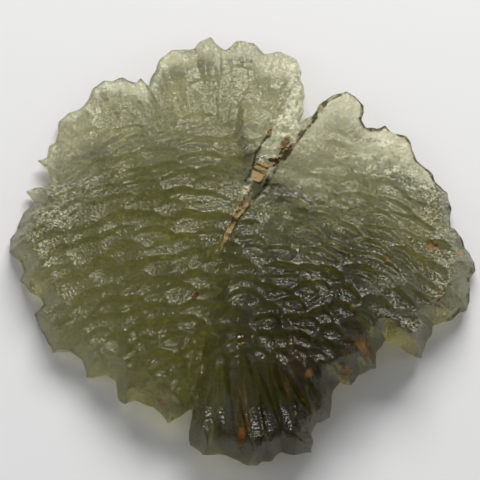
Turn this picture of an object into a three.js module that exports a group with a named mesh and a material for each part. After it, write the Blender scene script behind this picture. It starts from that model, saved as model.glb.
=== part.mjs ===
// A leaf-shaped moldavite: one piece of natural green glass, thin and toothed at the rim, domed and
// deeply etched on top, with a cleft between its two far lobes that holds two bars of dried clay.
//
// Millimetres, +Z up. The origin is at the middle of the footprint, on the surface that the stone rests on.
// +Y points to the cleft side and +X to the right-hand lobe.
import * as THREE from 'three';

// ---------------------------------------------------------------- driving dimensions

const RINGS = 24;              // rings from the heart of the stone out to its rim
const HEART = [-1.8, 0];       // where the cleft ends; every ring is drawn round this point
const MID_HEIGHT = 3.0;        // height that the rim would have at the middle of the stone
const HALF_WIDTH = 20;         // how far the left and right ends are from the middle
const DROOP = 2.3;             // the rim droops this much at those ends
const LEFT_DROP = 0.8;         // sinks this much more on the left
const NEAR_RISE = 1.9;         // and rises this much at the near lobe
const LOWEST_RIM = 0.5;        // but the middle of the rim is never lower than this
const LIP = 0.36;              // half the thickness of the rim itself
const LOBE_LEVEL = 2.0;        // height that the top levels out at on the far lobes
const DOME = 4.4;              // and the rise from there that a full thickness adds
const BELLY = 2.8;             // depth of the underside below the rim, before it is worn flat
const FULL_INWARD = 5.2;       // this far in from the rim the stone has its full thickness
const REST_HALF = 4.6;         // half width of the worn patch that the stone rests on

const CLEFT_MOUTH = [5.1, 10.9];      // rim point where the cleft opens between the lobes
const CLEFT_DEPTH = 1.5;
const CREASE_MOUTH = [-4.2, -13.9];   // rim point where the crease beside the near lobe ends
const CREASE_DEPTH = 1.1;
const ARCH_CENTRE = [-1, -29];        // the rows of pits are arcs drawn round this point
const ARCH_RADIUS = 29;               // distances along a row are measured at this reach

const CLAY_CLEARANCE = 0.2;    // a bar of clay clears the glass under it by this much
const CLAY_THICKNESS = 0.5;
const CLAY_LOWER = [           // along the middle of each bar: x, y and half the bar's width
  [-1.7, -0.3, 0.12], [-1.25, 0.9, 0.22], [-0.75, 2.1, 0.3], [-0.15, 3.3, 0.38], [0.35, 4, 0.44],
];
const CLAY_UPPER = [[1.15, 5.75, 0.36], [1.4, 6.4, 0.5], [1.7, 7, 0.58], [1.95, 7.55, 0.6]];

// The rim as seen from above, anticlockwise from the cleft, one list for each lobe or run of teeth.
const RIM = [
  // left wall of the cleft
  [5.1, 10.9], [5.3, 12.2], [5.4, 12.7], [5.2, 14.8], [5, 16.4], [4.7, 16.9],
  // crown of the left lobe
  [3.4, 17.4], [1.9, 17.3], [1, 18.3], [-0.5, 18.5], [-1.4, 17.7], [-1.8, 17.8], [-2.8, 18.7],
  [-3.7, 18.3], [-4.1, 17.8], [-6, 17.6], [-7, 17], [-7.8, 15.5], [-8.1, 14.5],
  // shoulder
  [-8.8, 15.1], [-9.2, 14.7], [-10.2, 15.2], [-11.9, 15], [-13.1, 14.2], [-13.7, 12.9],
  [-15.9, 11.6], [-16.1, 9.6], [-16.6, 9.2], [-16.9, 8.3], [-17.8, 8],
  // left-hand teeth
  [-16.8, 7], [-16.6, 6], [-18.6, 5.3], [-17.9, 4.2], [-19, 3.5], [-19.5, 1.9], [-20.1, 1.1],
  [-20.1, 0], [-19.1, -1], [-18.8, -1.7], [-19.3, -2.4], [-18.6, -3.2], [-17.4, -3.9], [-17.1, -4.6],
  // steps down to the crease
  [-17.9, -5.4], [-17.1, -7.1], [-16.3, -8.7], [-14.7, -8.7], [-13.8, -9.4], [-13.4, -10.9],
  [-11.6, -10.7], [-10.9, -11.2], [-10.7, -12.4], [-10, -13.3], [-9.1, -12.9], [-8, -13.4],
  [-7, -14.1], [-6.4, -14.9], [-4.5, -13.9], [-4.2, -13.9],
  // near lobe
  [-4.5, -16.2], [-4.4, -16.9], [-3.3, -17.7], [-2, -17.6], [-0.6, -18], [0.6, -18.7],
  [1.3, -18.6], [1.8, -18.2], [2.5, -18.1], [3.5, -17.4], [4.5, -17.7], [6, -17.4],
  [5.9, -15.9], [6.4, -15], [7.6, -14.5], [7.7, -12.1], [8.2, -11.6], [9.3, -11.8],
  // broken steps on the near right
  [9.7, -11], [10.8, -10.3], [11.5, -10.2], [11.4, -8.8], [12.3, -7.8], [12.9, -8.1],
  [15.5, -9.3], [15.7, -8.1], [16.4, -7.2], [16.4, -6.4], [18, -6], [18.8, -5.2], [19.4, -5.1],
  // right-hand edge
  [19.6, -3.9], [19.5, -2.3], [20.1, -1.6], [20.1, -0.8], [19.2, 0.4], [19, 1.4], [18.3, 2.1],
  [18, 2.2], [18.1, 3.6], [17.8, 5.3], [17, 5.8], [16.1, 7.1], [15, 8], [14.6, 9.4], [14.2, 9.9],
  [13.1, 10.3], [12.4, 10.9], [11.6, 10.5], [10.8, 10.6], [10.3, 11.4],
  // crown of the right lobe and right wall of the cleft
  [10.6, 12.7], [9.8, 13.5], [9, 13.9], [7.8, 13.5], [7, 13], [6.5, 12.3], [5.6, 11.5],
];

// ---------------------------------------------------------------- small helpers

const limit = (t, low = 0, high = 1) => Math.min(Math.max(t, low), high);

/** 0 below a, 1 above b, and an S-shaped slope between. */
const ramp = (a, b, t) => {
  const k = limit((t - a) / (b - a));
  return k * k * (3 - 2 * k);
};

/** A fixed number from 0 to 1 for each cell (i, j) of a pattern. */
const cellValue = (i, j, pattern) => {
  const v = Math.sin(i * 127.1 + j * 311.7 + pattern * 74.7) * 43758.5453;
  return v - Math.floor(v);
};

/** Soft lumps from -1 to 1: cell values blended smoothly across cells of the given size. */
const lumps = (x, y, size, pattern) => {
  const [u, v] = [x / size, y / size];
  const [i, j] = [Math.floor(u), Math.floor(v)];
  const [a, b] = [ramp(0, 1, u - i), ramp(0, 1, v - j)];
  const near = cellValue(i, j, pattern) * (1 - a) + cellValue(i + 1, j, pattern) * a;
  const far = cellValue(i, j + 1, pattern) * (1 - a) + cellValue(i + 1, j + 1, pattern) * a;
  return 2 * (near * (1 - b) + far * b) - 1;
};

/**
 * Etch pits from 0 at a pit's floor to 1 on the sharp ridges between pits. Each cell holds one pit, and the
 * lowest pit wins. A pit is a scoop, arched towards +v: it rises gently and straight on the near side and
 * as a curved wall on the far side. Each column of cells is shifted along by its own amount, so that the
 * pits overlap like scales.
 */
const pits = (u, v, width, length, pattern) => {
  const [p, q] = [u / width, v / length];
  const i = Math.floor(p);
  let lowest = 1;
  for (let ci = i - 1; ci <= i + 1; ci += 1) {
    const shifted = q + cellValue(ci, 5, pattern + 3);
    const j = Math.floor(shifted);
    for (let cj = j - 1; cj <= j + 1; cj += 1) {
      const across = p - (ci + 0.5 + 0.7 * (cellValue(ci, cj, pattern) - 0.5));
      const beyond = shifted - (cj + 0.5 + 0.7 * (cellValue(ci, cj, pattern + 1) - 0.5));
      const along = beyond + 0.8 * across * across;
      const uphill = along > 0 ? 3 * along * along : -0.5 * along;
      const pit = 1.6 * (across * across + uphill) + 0.3 * cellValue(ci, cj, pattern + 2);
      lowest = Math.min(lowest, pit);
    }
  }
  return lowest;
};

// ---------------------------------------------------------------- the rim and the rings inside it

/** The places, out of the 8 * RINGS round the rim, that the listed points take: each has one of its own. */
function rimPlaces() {
  const count = 8 * RINGS;
  const share = 0.7;   // a short step between points still gets a fair part of the places
  const steps = RIM.map(([x, y], k) => {
    const [nx, ny] = RIM[(k + 1) % RIM.length];
    return Math.hypot(nx - x, ny - y) + share;
  });
  const total = steps.reduce((sum, step) => sum + step, 0);
  const places = [];
  let walked = 0;
  let place = -1;
  for (const step of steps) {
    place = Math.max(place + 1, Math.round((walked / total) * count));
    places.push(place);
    walked += step;
  }
  places.push(count);
  return places;
}

const PLACES = rimPlaces();

/** The rim point at a fraction of the way round, from 0 to 1. */
function rimAt(fraction) {
  const place = fraction * 8 * RINGS;
  let k = 0;
  while (k < RIM.length - 1 && PLACES[k + 1] <= place) k += 1;
  const t = (place - PLACES[k]) / (PLACES[k + 1] - PLACES[k]);
  const [x0, y0] = RIM[k];
  const [x1, y1] = RIM[(k + 1) % RIM.length];
  return [x0 + (x1 - x0) * t, y0 + (y1 - y0) * t];
}

/** The shortest distance from (x, y) to the rim. */
function distanceToRim(x, y) {
  let nearest = Infinity;
  RIM.forEach(([x0, y0], k) => {
    const [x1, y1] = RIM[(k + 1) % RIM.length];
    const [dx, dy] = [x1 - x0, y1 - y0];
    const t = limit(((x - x0) * dx + (y - y0) * dy) / (dx * dx + dy * dy));
    nearest = Math.min(nearest, Math.hypot(x - x0 - dx * t, y - y0 - dy * t));
  });
  return nearest;
}

/** The plan position of a point on ring s (0 at the heart, 1 at the rim) and its distance in from the rim. */
function onRing(s, fraction) {
  const [rx, ry] = rimAt(fraction);
  const x = HEART[0] + (rx - HEART[0]) * s;
  const y = HEART[1] + (ry - HEART[1]) * s;
  return { x, y, inward: s === 1 ? 0 : distanceToRim(x, y) };
}

// ---------------------------------------------------------------- the two faces of the stone

/** How far along the line from the heart to a rim point, and how far to the right of it. */
function alongAndAside(x, y, mouth) {
  const [dx, dy] = [mouth[0] - HEART[0], mouth[1] - HEART[1]];
  const length = Math.hypot(dx, dy);
  return {
    along: ((x - HEART[0]) * dx + (y - HEART[1]) * dy) / length,
    aside: ((x - HEART[0]) * dy - (y - HEART[1]) * dx) / length,
  };
}

/**
 * A V-shaped furrow that runs out to a point of the rim: its depth at (x, y). It widens by its own share of
 * the way along on each side.
 */
function furrow(x, y, mouth, start, left, right, depth) {
  const { along, aside } = alongAndAside(x, y, mouth);
  const width = 0.2 + (aside < 0 ? left : right) * Math.max(along, 0);
  return depth * ramp(start - 1, start + 2, along) * Math.max(0, 1 - Math.abs(aside) / width);
}

/** 1 on the near lobe and 0 elsewhere. */
const nearLobe = (x, y) => ramp(-8, -14, y) * ramp(-7, -3, x) * ramp(11, 6, x);

/** 1 on the near right of the stone, its thickest part, and 0 elsewhere. */
const nearRight = (x, y) => ramp(4, -6, y) * ramp(-4, 1, x) * ramp(17.5, 13, x);

/** Distance along a row of pits and across the rows: the angle and the reach from the arch's centre. */
function arched(x, y) {
  const [dx, dy] = [x - ARCH_CENTRE[0], y - ARCH_CENTRE[1]];
  return [Math.atan2(dx, dy) * ARCH_RADIUS, Math.hypot(dx, dy)];
}

/** Where the etch is drawn out towards the rim: 0 in the middle, 1 at the rim and on the near lobe. */
function flutedShare(x, y, inward) {
  const near = ramp(-8, -12, y) * ramp(-5, -2, x);
  return limit(0.8 * ramp(2, 0.3, inward) + near + 0.7 * ramp(9, 13, y));
}

/** Pits in arched rows across the middle that turn into flutes running out from the heart, 0 to 1. */
function etch(x, y, inward, size, pattern) {
  const sway = 0.8 * lumps(x, y, 4.3, pattern + 5);
  const [u, v] = arched(x, y);
  const rows = pits(u + sway, v + 0.45 * lumps(x, y, 3.1, pattern + 6), 1.9 * size, size, pattern);
  const reach = Math.hypot(x - HEART[0], y - HEART[1]);
  const turn = Math.atan2(x - HEART[0], -(y - HEART[1])) * 15;
  const run = reach * limit(y / 6, -1, 1);
  const flutes = pits(turn, run + 2 * sway, 0.9 * size, 5 * size, pattern + 9);
  const share = flutedShare(x, y, inward);
  return rows * (1 - share) + flutes * share;
}

/**
 * How full the stone is: 0 at the rim and 1 from about FULL_INWARD on, sooner on the left, the right and the
 * near side and later on the far lobes.
 */
function fullness(x, y, inward, power) {
  const sides = Math.max(ramp(-2, -10, x), ramp(8, 14, x)) * ramp(9, 3, y);
  const steep = Math.max(0.45 * ramp(-4, -11, y), 0.6 * sides);
  const reach = FULL_INWARD * (1 - steep - 0.2 * nearRight(x, y) + 0.35 * ramp(3, 10, y));
  return (1 - (1 - limit(inward / reach)) ** 2) ** power;
}

/** 0 out on the thin far lobes and 1 on the body, which reaches further out into the left lobe. */
function bodyShare(x, y) {
  const leftLobe = ramp(-9, -5, x) * ramp(2, -2, x);
  return ramp(13.5, 3.5, y + 1.4 * limit(x + 0.5, 0, 4) - 2 * leftLobe);
}

/** 1 where the left lobe thins out beside the cleft, and 0 elsewhere. */
function feathered(x, y) {
  const { along, aside } = alongAndAside(x, y, CLEFT_MOUTH);
  return ramp(3, 8, along) * ramp(-6, -1.5, aside) * ramp(1.5, 0.5, aside);
}

/** The dome's share: small on the far lobes, larger on the body, less at its sides, most on the near right. */
function thickness(x, y) {
  const sides = 0.45 * ramp(-5, -15, x) * ramp(11, 6, y) + 0.35 * ramp(9, 16, x);
  const body = bodyShare(x, y) * (1 - sides);
  const share = 0.1 + 0.62 * body + 0.52 * nearRight(x, y) * (1 - 0.7 * nearLobe(x, y));
  return share * (1 - 0.6 * feathered(x, y));
}

/**
 * Height of the middle of the rim: it droops with the cube of the reach from the middle, but is high at the
 * near lobe, and has slow and quick waves in it.
 */
function middle(x, y) {
  const level = MID_HEIGHT - DROOP * (Math.hypot(x, y) / HALF_WIDTH) ** 3 + NEAR_RISE * nearLobe(x, y)
    - LEFT_DROP * ramp(-6, -14, x) * ramp(7, 1, y);
  const waves = 0.35 * lumps(x, y, 6.5, 40) + 0.3 * lumps(x, y, 2.6, 41);
  return Math.max(level + waves, LOWEST_RIM);
}

/** The lip's quarter-round profile: half its thickness at a distance in. The near lobe's end is thickest. */
function lip(x, y, inward) {
  const half = LIP * (1 + 1.6 * nearLobe(x, y) + 0.5 * ramp(8, 13, y));
  return half * Math.sqrt(1 - (1 - limit(inward / half)) ** 2);
}

function bottomHeight({ x, y, inward }) {
  const share = (0.17 + 0.83 * bodyShare(x, y)) * (1 - 0.7 * ramp(-9, -15, x));
  const belly = BELLY * share * (1 - 0.6 * feathered(x, y)) * fullness(x, y, inward, 1.5);
  const relief = 0.5 * lumps(x, y, 5.2, 60) - 0.6 * (etch(x, y, inward, 2.4, 70) - 0.6);
  const hanging = middle(x, y) - lip(x, y, inward) - belly + ramp(0, 2.4, inward) * relief;
  const worn = ramp(REST_HALF + 2.5, REST_HALF, Math.hypot(x, y));   // 1 on the patch it rests on
  return Math.max(hanging * (1 - worn), 0);
}

function topHeight(place) {
  const { x, y, inward } = place;
  const rise = LOBE_LEVEL + DOME * thickness(x, y) - middle(x, y);
  const dome = rise * fullness(x, y, inward, 1.25);
  const depth = 0.76 * (1 + 0.5 * ramp(1, -8, y) - 0.45 * ramp(8, 14, y));
  const relief = 0.45 * lumps(x, y, 4.6, 11) + depth * (etch(x, y, inward, 1.35, 20) - 0.6);
  const cleft = furrow(x, y, CLEFT_MOUTH, 0, 0.09, 0.035, CLEFT_DEPTH);
  const crease = furrow(x, y, CREASE_MOUTH, 8, 0.06, 0.06, CREASE_DEPTH);
  const swollen = middle(x, y) + lip(x, y, inward) + dome
    + ramp(0, 0.8, inward) * (relief - cleft - crease);
  return Math.max(swollen, bottomHeight(place) + 2 * lip(x, y, inward));   // nowhere thinner than the rim
}

// ---------------------------------------------------------------- the glass

/** A surface point: ring k has 8k points, counted in steps from the ray that runs up the cleft. */
function surfacePoint(ring, step, face) {
  const round = 8 * ring;
  const fraction = ring === 0 ? 0 : ((step + round) % round) / round;
  const point = onRing(ring / RINGS, fraction);
  const height = { rim: middle(point.x, point.y), top: topHeight, bottom: bottomHeight }[face];
  return [point.x, point.y, face === 'rim' ? height : height(point)];
}

/** How far round its square ring a grid point (a, b) is, in steps from the right-hand middle. */
function stepRound(a, b, ring) {
  if (a === ring && b > -ring) return b;
  if (b === ring) return 2 * ring - a;
  if (a === -ring) return 4 * ring - b;
  return 6 * ring + a;
}

/** A mesh geometry from a flat list of coordinates and a flat list of corners. */
function solid(positions, corners) {
  const geometry = new THREE.BufferGeometry();
  geometry.setAttribute('position', new THREE.Float32BufferAttribute(positions, 3));
  geometry.setIndex(corners);
  geometry.computeVertexNormals();
  return geometry;
}

/** Both faces of the stone on one square grid drawn out into rings. They share the rim's points. */
function glassGeometry() {
  const positions = [];
  const corners = [];
  const made = new Map();

  const vertex = (i, j, sheet) => {
    const [a, b] = [i - RINGS, j - RINGS];
    const ring = Math.max(Math.abs(a), Math.abs(b));
    const face = ring === RINGS ? 'rim' : sheet;
    const key = `${i},${j},${face}`;
    if (!made.has(key)) {
      made.set(key, positions.length / 3);
      positions.push(...surfacePoint(ring, stepRound(a, b, ring), face));
    }
    return made.get(key);
  };

  for (let i = 0; i < 2 * RINGS; i += 1) {
    for (let j = 0; j < 2 * RINGS; j += 1) {
      const cell = [[i, j], [i + 1, j], [i + 1, j + 1], [i, j + 1]];
      const alongSpoke = (i < RINGS) === (j < RINGS);
      for (const sheet of ['top', 'bottom']) {
        const [p, q, r, t] = cell.map(([m, n]) => vertex(m, n, sheet));
        const pair = alongSpoke ? [[p, q, r], [p, r, t]] : [[p, q, t], [q, r, t]];
        for (const [u, v, w] of pair) corners.push(...(sheet === 'top' ? [u, v, w] : [u, w, v]));
      }
    }
  }
  return solid(positions, corners);
}

// ---------------------------------------------------------------- the clay in the cleft

/** A four-sided bar along the middle of the cleft, level across and clear of the glass all the way. */
function clayGeometry(line) {
  const positions = [];
  const corners = [];
  const last = line.length - 1;
  line.forEach(([x, y, half], k) => {
    const [[x0, y0], [x1, y1]] = [line[Math.max(k - 1, 0)], line[Math.min(k + 1, last)]];
    const length = Math.hypot(x1 - x0, y1 - y0);
    const across = [(y1 - y0) / length, -(x1 - x0) / length];
    const glassUnder = [-1, -0.5, 0, 0.5, 1].map((share) => {
      const [px, py] = [x + share * half * across[0], y + share * half * across[1]];
      return topHeight({ x: px, y: py, inward: distanceToRim(px, py) });
    });
    const base = Math.max(...glassUnder) + CLAY_CLEARANCE;
    for (const [share, rise] of [[-1, 0], [1, 0], [0.8, CLAY_THICKNESS], [-0.8, CLAY_THICKNESS]]) {
      positions.push(x + share * half * across[0], y + share * half * across[1], base + rise);
    }
  });
  for (let k = 0; k < last; k += 1) {
    for (let side = 0; side < 4; side += 1) {
      const [p, q] = [4 * k + side, 4 * k + (side + 1) % 4];
      corners.push(p, p + 4, q + 4, p, q + 4, q);
    }
  }
  const end = 4 * last;
  corners.push(0, 1, 2, 0, 2, 3);
  corners.push(end, end + 2, end + 1, end, end + 3, end + 2);
  return solid(positions, corners);
}

// ---------------------------------------------------------------- assembly

const glass = new THREE.MeshStandardMaterial({ color: 0x5f6130, roughness: 0.25, metalness: 0 });
const clay = new THREE.MeshStandardMaterial({ color: 0xb48a52, roughness: 0.95, metalness: 0 });

const stone = new THREE.Group();
const pieces = [
  ['moldavite', glassGeometry(), glass],
  ['clay_lower', clayGeometry(CLAY_LOWER), clay],
  ['clay_upper', clayGeometry(CLAY_UPPER), clay],
];
for (const [name, geometry, material] of pieces) {
  const mesh = new THREE.Mesh(geometry, material);
  mesh.name = name;
  stone.add(mesh);
}

export default stone;
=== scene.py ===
# %% [markdown]
# # A leaf-shaped moldavite
# Moldavite is a natural green glass: drops and splashes of rock, melted by a meteorite strike, that froze in
# the air and were then etched by sour soil for millions of years. This one is a thin, toothed leaf with a
# cleft between its two far lobes, and it lies on white paper. The lesson works out its surface from
# formulas, makes the glass see-through and packs the cleft with the dried clay that it was dug out of.
#
# The packed model comes first. It is a fixed frame: every piece below is made in metres, in its axes, so
# nothing has to be fitted afterwards.

# %% Load the frame
import math

import bpy
import numpy as np
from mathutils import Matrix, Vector


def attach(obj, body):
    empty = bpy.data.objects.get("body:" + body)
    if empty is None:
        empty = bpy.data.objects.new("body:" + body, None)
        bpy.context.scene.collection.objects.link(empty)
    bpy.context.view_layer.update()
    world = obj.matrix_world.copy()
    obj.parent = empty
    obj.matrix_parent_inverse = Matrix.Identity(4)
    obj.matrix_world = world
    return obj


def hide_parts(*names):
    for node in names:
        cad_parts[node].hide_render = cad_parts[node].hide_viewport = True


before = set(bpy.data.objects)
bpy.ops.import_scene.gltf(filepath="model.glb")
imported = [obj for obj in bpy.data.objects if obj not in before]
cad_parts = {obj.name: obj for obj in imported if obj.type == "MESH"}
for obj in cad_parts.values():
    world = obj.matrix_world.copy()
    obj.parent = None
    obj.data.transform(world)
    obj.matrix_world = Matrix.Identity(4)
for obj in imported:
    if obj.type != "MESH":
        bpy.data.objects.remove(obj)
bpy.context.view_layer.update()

# %% [markdown]
# ## Sizes
# A stone this small is easiest to think about in millimetres, so its formulas use them, and a mesh is turned
# into metres as it is made. These are the driving dimensions of the solid. Using the very same ones is what
# makes the fine surface lie on the solid without any fitting.

# %% Driving dimensions, in millimetres
MM = 0.001                              # one of the formulas' millimetres, in metres
HEART = np.array([-1.8, 0.0])           # where the cleft ends; the rings of the mesh are drawn round it
MID_HEIGHT = 3.0                        # height that the rim would have at the middle of the stone
HALF_WIDTH = 20                         # how far the left and right ends are from the middle
DROOP = 2.3                             # the rim droops this much at those ends
LEFT_DROP = 0.8                         # it sinks this much more on the left
NEAR_RISE = 1.9                         # and rises this much at the near lobe
LOWEST_RIM = 0.5                        # but it is never lower than this
LIP = 0.36                              # half the thickness of the rim itself
LOBE_LEVEL = 2.0                        # height that the top levels out at on the far lobes
DOME = 4.4                              # and the rise from there that a full thickness adds
BELLY = 2.8                             # depth of the underside below the rim, before it is worn flat
FULL_INWARD = 5.2                       # about this far in from the rim the stone has its full thickness
REST_HALF = 4.6                         # half width of the worn patch that the stone rests on
CLEFT_MOUTH = np.array([5.1, 10.9])     # rim point where the cleft opens between the lobes
CLEFT_DEPTH = 1.5
CREASE_MOUTH = np.array([-4.2, -13.9])  # rim point where the crease beside the near lobe ends
CREASE_DEPTH = 1.1
ARCH_CENTRE = np.array([-1.0, -29.0])   # the rows of pits are arcs drawn round this point
ARCH_RADIUS = 29.0                      # distances along a row are measured at this reach
FAN_RADIUS = 15                         # and distances across the flutes at this one, from the heart
print("the top levels out between", LOBE_LEVEL, "and", LOBE_LEVEL + DOME, "mm")

# %% [markdown]
# ## The rim
# Seen from above, the stone is an irregular leaf with teeth where flakes broke off and where the etch ate
# in. No formula draws that, so its corners are listed one by one, going round from the mouth of the
# cleft. The teeth are the leaf's character: smoothing them away would leave a pebble.

# %% The rim's corners
RIM = np.array([
    # left wall of the cleft
    [5.1, 10.9], [5.3, 12.2], [5.4, 12.7], [5.2, 14.8], [5, 16.4], [4.7, 16.9],
    # crown of the left lobe
    [3.4, 17.4], [1.9, 17.3], [1, 18.3], [-0.5, 18.5], [-1.4, 17.7], [-1.8, 17.8], [-2.8, 18.7],
    [-3.7, 18.3], [-4.1, 17.8], [-6, 17.6], [-7, 17], [-7.8, 15.5], [-8.1, 14.5],
    # shoulder
    [-8.8, 15.1], [-9.2, 14.7], [-10.2, 15.2], [-11.9, 15], [-13.1, 14.2], [-13.7, 12.9],
    [-15.9, 11.6], [-16.1, 9.6], [-16.6, 9.2], [-16.9, 8.3], [-17.8, 8],
    # left-hand teeth
    [-16.8, 7], [-16.6, 6], [-18.6, 5.3], [-17.9, 4.2], [-19, 3.5], [-19.5, 1.9], [-20.1, 1.1],
    [-20.1, 0], [-19.1, -1], [-18.8, -1.7], [-19.3, -2.4], [-18.6, -3.2], [-17.4, -3.9], [-17.1, -4.6],
    # steps down to the crease
    [-17.9, -5.4], [-17.1, -7.1], [-16.3, -8.7], [-14.7, -8.7], [-13.8, -9.4], [-13.4, -10.9],
    [-11.6, -10.7], [-10.9, -11.2], [-10.7, -12.4], [-10, -13.3], [-9.1, -12.9], [-8, -13.4],
    [-7, -14.1], [-6.4, -14.9], [-4.5, -13.9], [-4.2, -13.9],
    # near lobe
    [-4.5, -16.2], [-4.4, -16.9], [-3.3, -17.7], [-2, -17.6], [-0.6, -18], [0.6, -18.7],
    [1.3, -18.6], [1.8, -18.2], [2.5, -18.1], [3.5, -17.4], [4.5, -17.7], [6, -17.4],
    [5.9, -15.9], [6.4, -15], [7.6, -14.5], [7.7, -12.1], [8.2, -11.6], [9.3, -11.8],
    # broken steps on the near right
    [9.7, -11], [10.8, -10.3], [11.5, -10.2], [11.4, -8.8], [12.3, -7.8], [12.9, -8.1],
    [15.5, -9.3], [15.7, -8.1], [16.4, -7.2], [16.4, -6.4], [18, -6], [18.8, -5.2], [19.4, -5.1],
    # right-hand edge
    [19.6, -3.9], [19.5, -2.3], [20.1, -1.6], [20.1, -0.8], [19.2, 0.4], [19, 1.4], [18.3, 2.1],
    [18, 2.2], [18.1, 3.6], [17.8, 5.3], [17, 5.8], [16.1, 7.1], [15, 8], [14.6, 9.4], [14.2, 9.9],
    [13.1, 10.3], [12.4, 10.9], [11.6, 10.5], [10.8, 10.6], [10.3, 11.4],
    # crown of the right lobe and right wall of the cleft
    [10.6, 12.7], [9.8, 13.5], [9, 13.9], [7.8, 13.5], [7, 13], [6.5, 12.3], [5.6, 11.5],
])
CLOSED_RIM = np.vstack([RIM, RIM[:1]])
print("rim corners:", len(RIM), "across", np.ptp(RIM[:, 0]), "by", np.ptp(RIM[:, 1]), "mm")

# %% [markdown]
# ## Lumps
# Etched glass has two kinds of relief, and the first is soft lumps. Blender's own noise textures could make
# them, but only in a material or through a modifier. Written as numpy formulas on whole arrays they can
# shape the mesh itself, and the same formulas shape the solid in another program. Chance comes from a fixed
# number for each cell of a grid, so every run gives the same stone.

# %% Ramps, chance and lumps
def ramp(a, b, t):
    """0 below a, 1 above b, and the S-shaped slope 3k^2 - 2k^3 between."""
    k = np.clip((t - a) / (b - a), 0, 1)
    return k * k * (3 - 2 * k)


def cell_value(i, j, pattern):
    """A fixed number from 0 to 1 for each cell: the fraction of a large multiple of a sine."""
    v = np.sin(i * 127.1 + j * 311.7 + pattern * 74.7) * 43758.5453
    return v - np.floor(v)


def lumps(x, y, size, pattern):
    """Soft lumps from -1 to 1: the values of a cell's four corners, blended by the S-shaped slope."""
    u, v = x / size, y / size
    i, j = np.floor(u), np.floor(v)
    a, b = ramp(0, 1, u - i), ramp(0, 1, v - j)
    near = cell_value(i, j, pattern) * (1 - a) + cell_value(i + 1, j, pattern) * a
    far = cell_value(i, j + 1, pattern) * (1 - a) + cell_value(i + 1, j + 1, pattern) * a
    return 2 * (near * (1 - b) + far * b) - 1


square = np.meshgrid(np.linspace(0, 20, 200), np.linspace(0, 20, 200))
soft = lumps(*square, 3.0, 1)
print("lumps from", round(float(soft.min()), 2), "to", round(float(soft.max()), 2))

# %% [markdown]
# ## Pits
# The second kind is scooped pits that meet in sharp ridges, the scales of a moldavite. Acid eats a hollow
# round each weak spot, and where two hollows meet a ridge is left. The formula does the same: every cell of
# a grid has one bowl at a place of its own, and the lowest bowl wins.

# %% Pits
def pits(u, v, width, length, pattern):
    """Pits, 0 at a floor and about 1 on a ridge. Each cell has one bowl round a point of its own: the square
    of the distance across, plus three times the square of the distance along on the +v side or half the plain
    distance on the other, so that the bowl has a steep wall and a long slope. The lowest of the bowls wins.
    Bowls are bent into crescents by the square of the distance across, and each column of cells is shifted
    along by its own amount, so that the pits overlap like scales."""
    p, q = u / width, v / length
    i = np.floor(p)
    lowest = np.ones_like(p)
    for di in (-1, 0, 1):
        ci = i + di
        shifted = q + cell_value(ci, 5, pattern + 3)
        j = np.floor(shifted)
        for dj in (-1, 0, 1):
            cj = j + dj
            across = p - (ci + 0.5 + 0.7 * (cell_value(ci, cj, pattern) - 0.5))
            along = shifted - (cj + 0.5 + 0.7 * (cell_value(ci, cj, pattern + 1) - 0.5))
            along = along + 0.8 * across ** 2
            uphill = np.where(along > 0, 3.0 * along ** 2, -0.5 * along)
            bowl = 1.6 * (across ** 2 + uphill) + 0.3 * cell_value(ci, cj, pattern + 2)
            lowest = np.minimum(lowest, bowl)
    return lowest


sample = pits(*square, 3.0, 1.5, 1)
print("pits from", round(float(sample.min()), 2), "to", round(float(sample.max()), 2))

# %% [markdown]
# ## Where a point lies
# Four measures steer the relief: how far in from the rim a point is, how far along and beside a furrow,
# where it is on the arched rows of pits, and where on the fan of flutes. The first is a true distance to the
# rim's straight steps. Scaling the rim towards the middle would be simpler, but it draws every tooth into a
# long radial ridge.

# %% Measures on the plan
def distance_to_steps(x, y, corners):
    """The shortest distance from each point to the straight steps between corners. On each step the nearest
    point is found by projection and kept between the step's ends."""
    nearest = np.full(np.shape(x), np.inf)
    for (x0, y0), (x1, y1) in zip(corners[:-1], corners[1:]):
        dx, dy = x1 - x0, y1 - y0
        t = np.clip(((x - x0) * dx + (y - y0) * dy) / (dx * dx + dy * dy), 0, 1)
        nearest = np.minimum(nearest, np.hypot(x - x0 - dx * t, y - y0 - dy * t))
    return nearest


def distance_to_rim(x, y):
    """How far each point is from the rim."""
    return distance_to_steps(x, y, CLOSED_RIM)


def along_and_aside(x, y, mouth):
    """How far along the line from the heart to a rim point, and how far to the right of it."""
    dx, dy = mouth - HEART
    length = math.hypot(dx, dy)
    along = ((x - HEART[0]) * dx + (y - HEART[1]) * dy) / length
    aside = ((x - HEART[0]) * dy - (y - HEART[1]) * dx) / length
    return along, aside


def arched(x, y):
    """Distance along a row of pits and across the rows: the angle and the reach from the arch's centre."""
    dx, dy = x - ARCH_CENTRE[0], y - ARCH_CENTRE[1]
    return np.arctan2(dx, dy) * ARCH_RADIUS, np.hypot(dx, dy)


def fanned(x, y):
    """Distance across the flutes and along them: the angle and the reach from the heart."""
    dx, dy = x - HEART[0], y - HEART[1]
    return np.arctan2(dx, -dy) * FAN_RADIUS, np.hypot(dx, dy)


print("heart to rim:", round(float(distance_to_rim(*HEART)), 1), "mm")

# %% [markdown]
# ## Parts of the stone
# The stone isn't of one piece in its looks. Its body is thick, its two far lobes are thin as a leaf, and the
# near lobe is a broken stump with flutes. Each part is a number from 0 to 1 that fades softly at its border,
# so that one formula for the height can treat them all, with no seam to hide. The bare numbers in a ramp are
# places on the plan: where the part is gone, and where it is whole.

# %% Shares of the parts
def near_lobe(x, y):
    """1 on the near lobe and 0 elsewhere."""
    return ramp(-8, -14, y) * ramp(-7, -3, x) * ramp(11, 6, x)


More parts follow.
